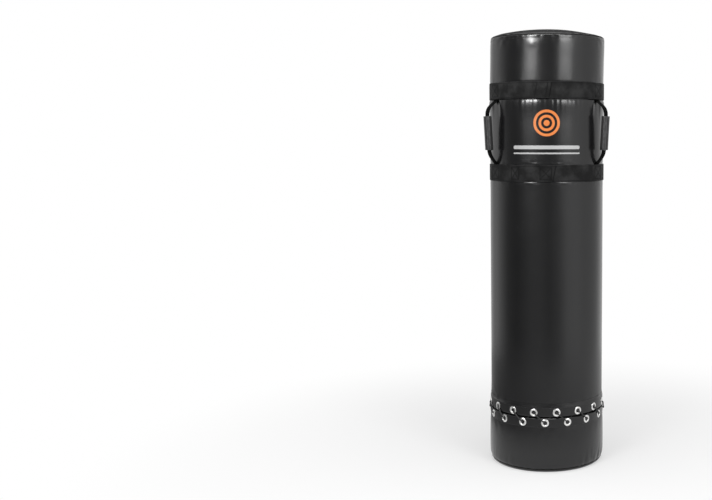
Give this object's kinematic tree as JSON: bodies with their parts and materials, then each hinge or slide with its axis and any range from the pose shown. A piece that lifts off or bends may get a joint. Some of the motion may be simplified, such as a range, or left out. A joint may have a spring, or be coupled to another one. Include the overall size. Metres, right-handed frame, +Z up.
{
  "type": "tackling dummy",
  "caption": "Upright cylindrical tackling dummy with a domed top, webbing bands, two strap handles with grips and a laced base cap.",
  "frame": {"origin": "centre of the base, on the floor", "axes": "+Z up along the dummy's axis; the front, half way between the two handles, faces -Y; the left handle in the picture is at -X"},
  "size_m": [0.3894, 0.3742, 1.3716],
  "materials": {
    "vinyl": "glossy coated vinyl",
    "webbing": "woven webbing",
    "grip": "satin",
    "foam": "open foam",
    "nickel": "polished nickel plate",
    "cord": "braided cord"
  },
  "bodies": {
    "dummy": {"body_cover": "vinyl", "top_panel": "vinyl", "upper_band": "webbing", "lower_band": "webbing", "cap_wall": "vinyl", "base_panel": "vinyl", "foam_column": "foam", "foam_base_disc": "foam", "lace_tongue": "vinyl", "lace": "cord", "upper_grommet_01": "nickel", "upper_grommet_02": "nickel", "upper_grommet_03": "nickel", "upper_grommet_04": "nickel", "upper_grommet_05": "nickel", "upper_grommet_06": "nickel", "upper_grommet_07": "nickel", "upper_grommet_08": "nickel", "upper_grommet_09": "nickel", "upper_grommet_10": "nickel", "upper_grommet_11": "nickel", "upper_grommet_12": "nickel", "upper_grommet_13": "nickel", "upper_grommet_14": "nickel", "upper_grommet_15": "nickel", "upper_grommet_16": "nickel", "lower_grommet_01": "nickel", "lower_grommet_02": "nickel", "lower_grommet_03": "nickel", "lower_grommet_04": "nickel", "lower_grommet_05": "nickel", "lower_grommet_06": "nickel", "lower_grommet_07": "nickel", "lower_grommet_08": "nickel", "lower_grommet_09": "nickel", "lower_grommet_10": "nickel", "lower_grommet_11": "nickel", "lower_grommet_12": "nickel", "lower_grommet_13": "nickel", "lower_grommet_14": "nickel", "lower_grommet_15": "nickel", "lower_grommet_16": "nickel", "left_upper_strap_end": "webbing", "left_lower_strap_end": "webbing", "right_upper_strap_end": "webbing", "right_lower_strap_end": "webbing"},
    "left_handle": {"left_handle_loop": "webbing", "left_grip_sleeve": "grip", "left_grip_core": "foam"},
    "right_handle": {"right_handle_loop": "webbing", "right_grip_sleeve": "grip", "right_grip_core": "foam"}
  },
  "joints": [
    {"name": "left_handle_swing", "type": "hinge", "parent": "dummy", "child": "left_handle", "pos_m": [-0.16515, -0.09535, 1.05307], "axis": [0, 0, 1], "range_deg": [-40, 40]},
    {"name": "right_handle_swing", "type": "hinge", "parent": "dummy", "child": "right_handle", "pos_m": [0.16515, -0.09535, 1.05307], "axis": [0, 0, 1], "range_deg": [-40, 40]}
  ]
}
